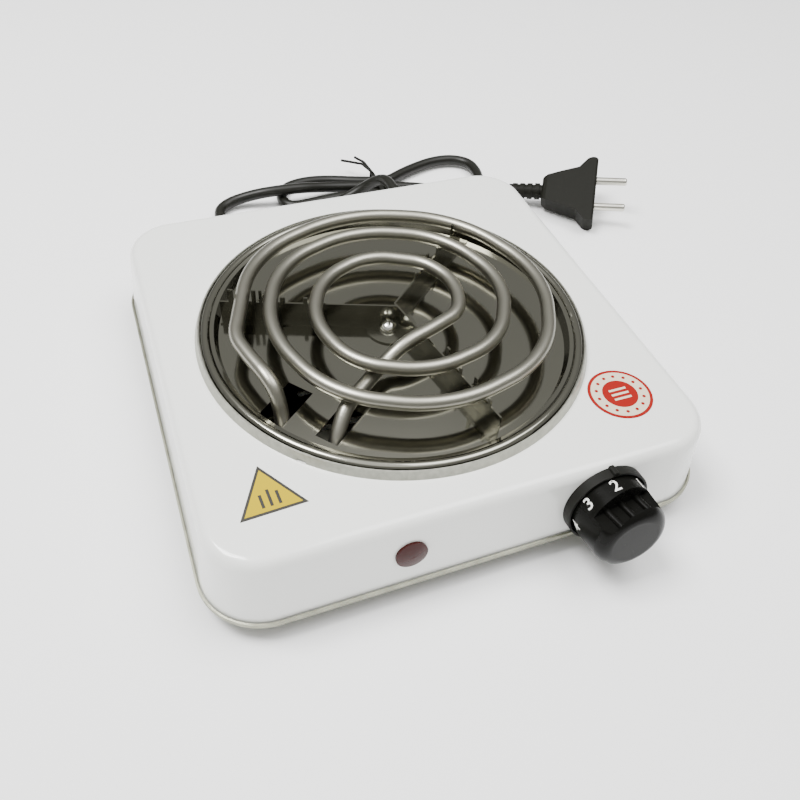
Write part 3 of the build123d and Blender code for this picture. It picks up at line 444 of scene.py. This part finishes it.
TRIANGLE_CENTRE = (-80.0, -79.3)
TRIANGLE_TURN = 3.0
TRIANGLE_INNER = 22.6
TRIANGLE_BAR_TOPS = (1.6, 3.2, 1.6)
TRIANGLE_BAR_PITCH = 3.3
TRIANGLE_BAR_HALF = 0.6
TRIANGLE_BAR_MARGIN = 1.8


def on_triangle(x, y):
    """A point of the triangle's own face, x along its base and y towards its vertex."""
    turn = math.radians(TRIANGLE_TURN)
    return (
        TRIANGLE_CENTRE[0] + x * math.cos(turn) - y * math.sin(turn),
        TRIANGLE_CENTRE[1] + x * math.sin(turn) + y * math.cos(turn),
    )


base_y = -TRIANGLE_INNER / (2 * math.sqrt(3))
printed_patch(
    "triangle_face",
    [
        on_triangle(-TRIANGLE_INNER / 2, base_y),
        on_triangle(TRIANGLE_INNER / 2, base_y),
        on_triangle(0, -2 * base_y),
    ],
    label_yellow, 1,
)
for index, top in enumerate(TRIANGLE_BAR_TOPS):
    bar_x = TRIANGLE_BAR_PITCH * (index - 1)
    bottom = base_y + TRIANGLE_BAR_MARGIN
    left = bar_x - TRIANGLE_BAR_HALF
    right_side = bar_x + TRIANGLE_BAR_HALF
    corners = ((left, bottom), (right_side, bottom), (right_side, top), (left, top))
    outline = [on_triangle(x, y) for x, y in corners]
    printed_patch(f"triangle_bar_{index}", outline, label_black, 2)

ROUNDEL_CENTRE = (77.6, -74.1)
BAND_RADIUS = 12.9
MIDDLE_RADIUS = 7.9
DOT_COUNT = 14
DOT_CIRCLE = 10.4
DOT_RADIUS = 0.8
DOT_SIDES = 16
ROUNDEL_BAR_COUNT = 3
ROUNDEL_BAR_PITCH = 2.6
ROUNDEL_BAR_HALF = (4.2, 0.55)      # half length, half width
printed_patch("roundel_band", ring_outline(ROUNDEL_CENTRE, BAND_RADIUS), label_cream, 1)
printed_patch("roundel_middle", ring_outline(ROUNDEL_CENTRE, MIDDLE_RADIUS), label_red, 2)
for index in range(DOT_COUNT):
    turn = 2 * math.pi * index / DOT_COUNT
    dot = (
        ROUNDEL_CENTRE[0] + DOT_CIRCLE * math.cos(turn),
        ROUNDEL_CENTRE[1] + DOT_CIRCLE * math.sin(turn),
    )
    printed_patch(f"roundel_dot_{index}", ring_outline(dot, DOT_RADIUS, DOT_SIDES), label_red, 2)
half_long, half_wide = ROUNDEL_BAR_HALF
for index in range(ROUNDEL_BAR_COUNT):
    x = ROUNDEL_CENTRE[0]
    y = ROUNDEL_CENTRE[1] + ROUNDEL_BAR_PITCH * (index - 1)
    outline = [
        (x - half_long, y - half_wide),
        (x + half_long, y - half_wide),
        (x + half_long, y + half_wide),
        (x - half_long, y + half_wide),
    ]
    printed_patch(f"roundel_bar_{index}", outline, label_cream, 3)

# ------------------------------------------------------------------ mains cord
# Round black PVC cord. It drops from the boot at the rear wall into loose loops behind the
# body, tied once, and its tail comes round the rear right corner to the plug.
CORD_DIAMETER = 6.6
LEAD = (
    (52, 135.1, 23.1), (52, 144.5, 24.2), (49.5, 154, 21), (42.5, 160, 13.5), (32, 161, 7), (20, 159.5, 4),
)
LONG_LOOP = (
    (0, 157.5, 3.4), (-22, 155, 3.4), (-39, 154.6, 3.4), (-50.2, 159.5, 3.5), (-50.6, 171.5, 3.7),
    (-43, 178, 4.4), (-31, 178.5, 6.8), (-18, 174.6, 10.4), (3, 173.5, 10.4), (19, 176.2, 6.6),
    (36, 175.5, 4.5),
)
RIGHT_LOOP = (
    (54, 171.3, 4.4), (72, 166.5, 3.8), (88, 160.5, 3.4), (97.5, 149, 3.4), (94.5, 133, 3.4),
    (79.5, 125.5, 3.4), (64.5, 132.5, 3.4), (60, 148, 3.6), (56.5, 161, 4.3), (43, 165.6, 4.4),
)
SMALL_LOOP = (
    (26, 166.8, 3.6), (9, 165.4, 3.4), (-6, 164.4, 3.4), (-10, 174.5, 3.4), (-5.5, 186, 3.4),
    (8, 190.6, 3.4), (24, 188.6, 3.5), (38, 182.3, 4.2), (51, 177.4, 4.6),
)
TAIL = (
    (62, 174.5, 4.6), (74.5, 181, 4.6), (87, 186, 4.6), (100.8, 189.8, 4.7), (115, 189, 4.8),
    (124.8, 181.3, 5), (125.4, 169, 5.2), (121.5, 156, 5.6), (126, 143, 6.7), (134.3, 137.6, 8.2),
)
route = [mm(*point) for point in (*LEAD, *LONG_LOOP, *RIGHT_LOOP, *SMALL_LOOP, *TAIL)]
cord_curve = bpy.data.curves.new("cord", "CURVE")
cord_curve.dimensions = "3D"
cord_curve.bevel_depth = CORD_DIAMETER / 2 / 1000
cord_curve.bevel_resolution = 6
cord_curve.resolution_u = 10
cord_curve.use_fill_caps = True
spline = cord_curve.splines.new("NURBS")
spline.points.add(len(route) - 1)
for point, place in zip(spline.points, route):
    point.co = (*place, 1)
spline.order_u = 3
spline.use_endpoint_u = True
cord = bpy.data.objects.new("cord", cord_curve)
bpy.context.collection.objects.link(cord)

# Extruded PVC: satin black with a slightly warm cast. The grain of its skin is finer than
# the render shows and only softens the gloss.
SKIN_GRAIN = 0.28
cord_pvc, shader = new_material("satin_black_pvc")
shader.inputs["Base Color"].default_value = paint("14140f")
shader.inputs["Roughness"].default_value = 0.40
shader.inputs["Specular IOR Level"].default_value = 0.3
place = node(cord_pvc, "ShaderNodeTexCoord")
grain = node(
    cord_pvc, "ShaderNodeTexNoise",
    {"Vector": place.outputs["Object"], "Scale": 1000 / SKIN_GRAIN, "Detail": 3.0},
)
skin = node(
    cord_pvc, "ShaderNodeBump",
    {"Height": grain.outputs["Fac"], "Strength": 0.12, "Distance": 0.0002},
)
cord_pvc.node_tree.links.new(skin.outputs["Normal"], shader.inputs["Normal"])
cord_curve.materials.append(cord_pvc)
wear(cord_pvc, "cord_gland")

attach(cord, "body")
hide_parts("cord_lead", "cord_hank", "cord_tail")

# ------------------------------------------------------------------ plug
# Flat two-pin plug. Its body is moulded in one with the ribbed relief from a duller black PVC,
# and its two round pins are turned brass, nickel plated.
plug_pvc, shader = new_material("matte_black_moulded_pvc")
shader.inputs["Base Color"].default_value = paint("14140f")
surface_grain(plug_pvc, shader, grain_mm=1.3, smoothest=0.47, dullest=0.64, depth_mm=0.05)
shader.inputs["Specular IOR Level"].default_value = 0.12
wear(plug_pvc, "plug_body")

nickel, shader = new_material("nickel_plated_brass")
shader.inputs["Metallic"].default_value = 1.0
shader.inputs["Base Color"].default_value = paint("d2d0c6")
surface_grain(nickel, shader, grain_mm=3.0, smoothest=0.13, dullest=0.27, depth_mm=0.02)
wear(nickel, "plug_pins")

# ------------------------------------------------------------------ floor and light
# A plain white floor under a sky that is bright overhead and dim at the horizon, so that metal
# has something dark to show, with one soft lamp above the left side and one above the right.
FLOOR_SIDE = 40
HORIZON = (0.13, 0.13, 0.125, 1)
LOW_SKY = (0.27, 0.27, 0.26, 1)
OVERHEAD = (1, 1, 1, 1)
LOW_SKY_TOP = 0.74
OVERHEAD_FROM = 0.90
SKY_STRENGTH = 2.0
AIM = (0, 0, 0.03)
floor_white, shader = new_material("white_paper")
shader.inputs["Base Color"].default_value = paint("ffffff")
shader.inputs["Roughness"].default_value = 0.9
bpy.ops.mesh.primitive_plane_add(size=FLOOR_SIDE)
floor = bpy.context.object
floor.name = "floor"
floor.data.materials.append(floor_white)

world = bpy.data.worlds.new("studio")
bpy.context.scene.world = world
world.use_nodes = True
sky = world.node_tree
direction = sky.nodes.new("ShaderNodeTexCoord")
parts = sky.nodes.new("ShaderNodeSeparateXYZ")
sky.links.new(direction.outputs["Generated"], parts.inputs["Vector"])
fade = sky.nodes.new("ShaderNodeValToRGB")
fade.color_ramp.elements[0].position = 0.0
fade.color_ramp.elements[0].color = HORIZON
fade.color_ramp.elements[1].position = OVERHEAD_FROM
fade.color_ramp.elements[1].color = OVERHEAD
low_sky = fade.color_ramp.elements.new(LOW_SKY_TOP)
low_sky.color = LOW_SKY
sky.links.new(parts.outputs["Z"], fade.inputs["Fac"])
sky.links.new(fade.outputs["Color"], sky.nodes["Background"].inputs["Color"])
sky.nodes["Background"].inputs["Strength"].default_value = SKY_STRENGTH


def softbox(name, place, target, size, watts):
    """A square area lamp aimed at a point."""
    lamp = bpy.data.lights.new(name, "AREA")
    lamp.size = size
    lamp.energy = watts
    holder = bpy.data.objects.new(name, lamp)
    bpy.context.collection.objects.link(holder)
    holder.location = place
    holder.rotation_euler = (Vector(target) - Vector(place)).to_track_quat("-Z", "Y").to_euler()


softbox("key", (-0.5, 0.15, 1.2), AIM, size=0.5, watts=24)
softbox("fill", (0.5, -0.1, 1.3), AIM, size=0.8, watts=12)
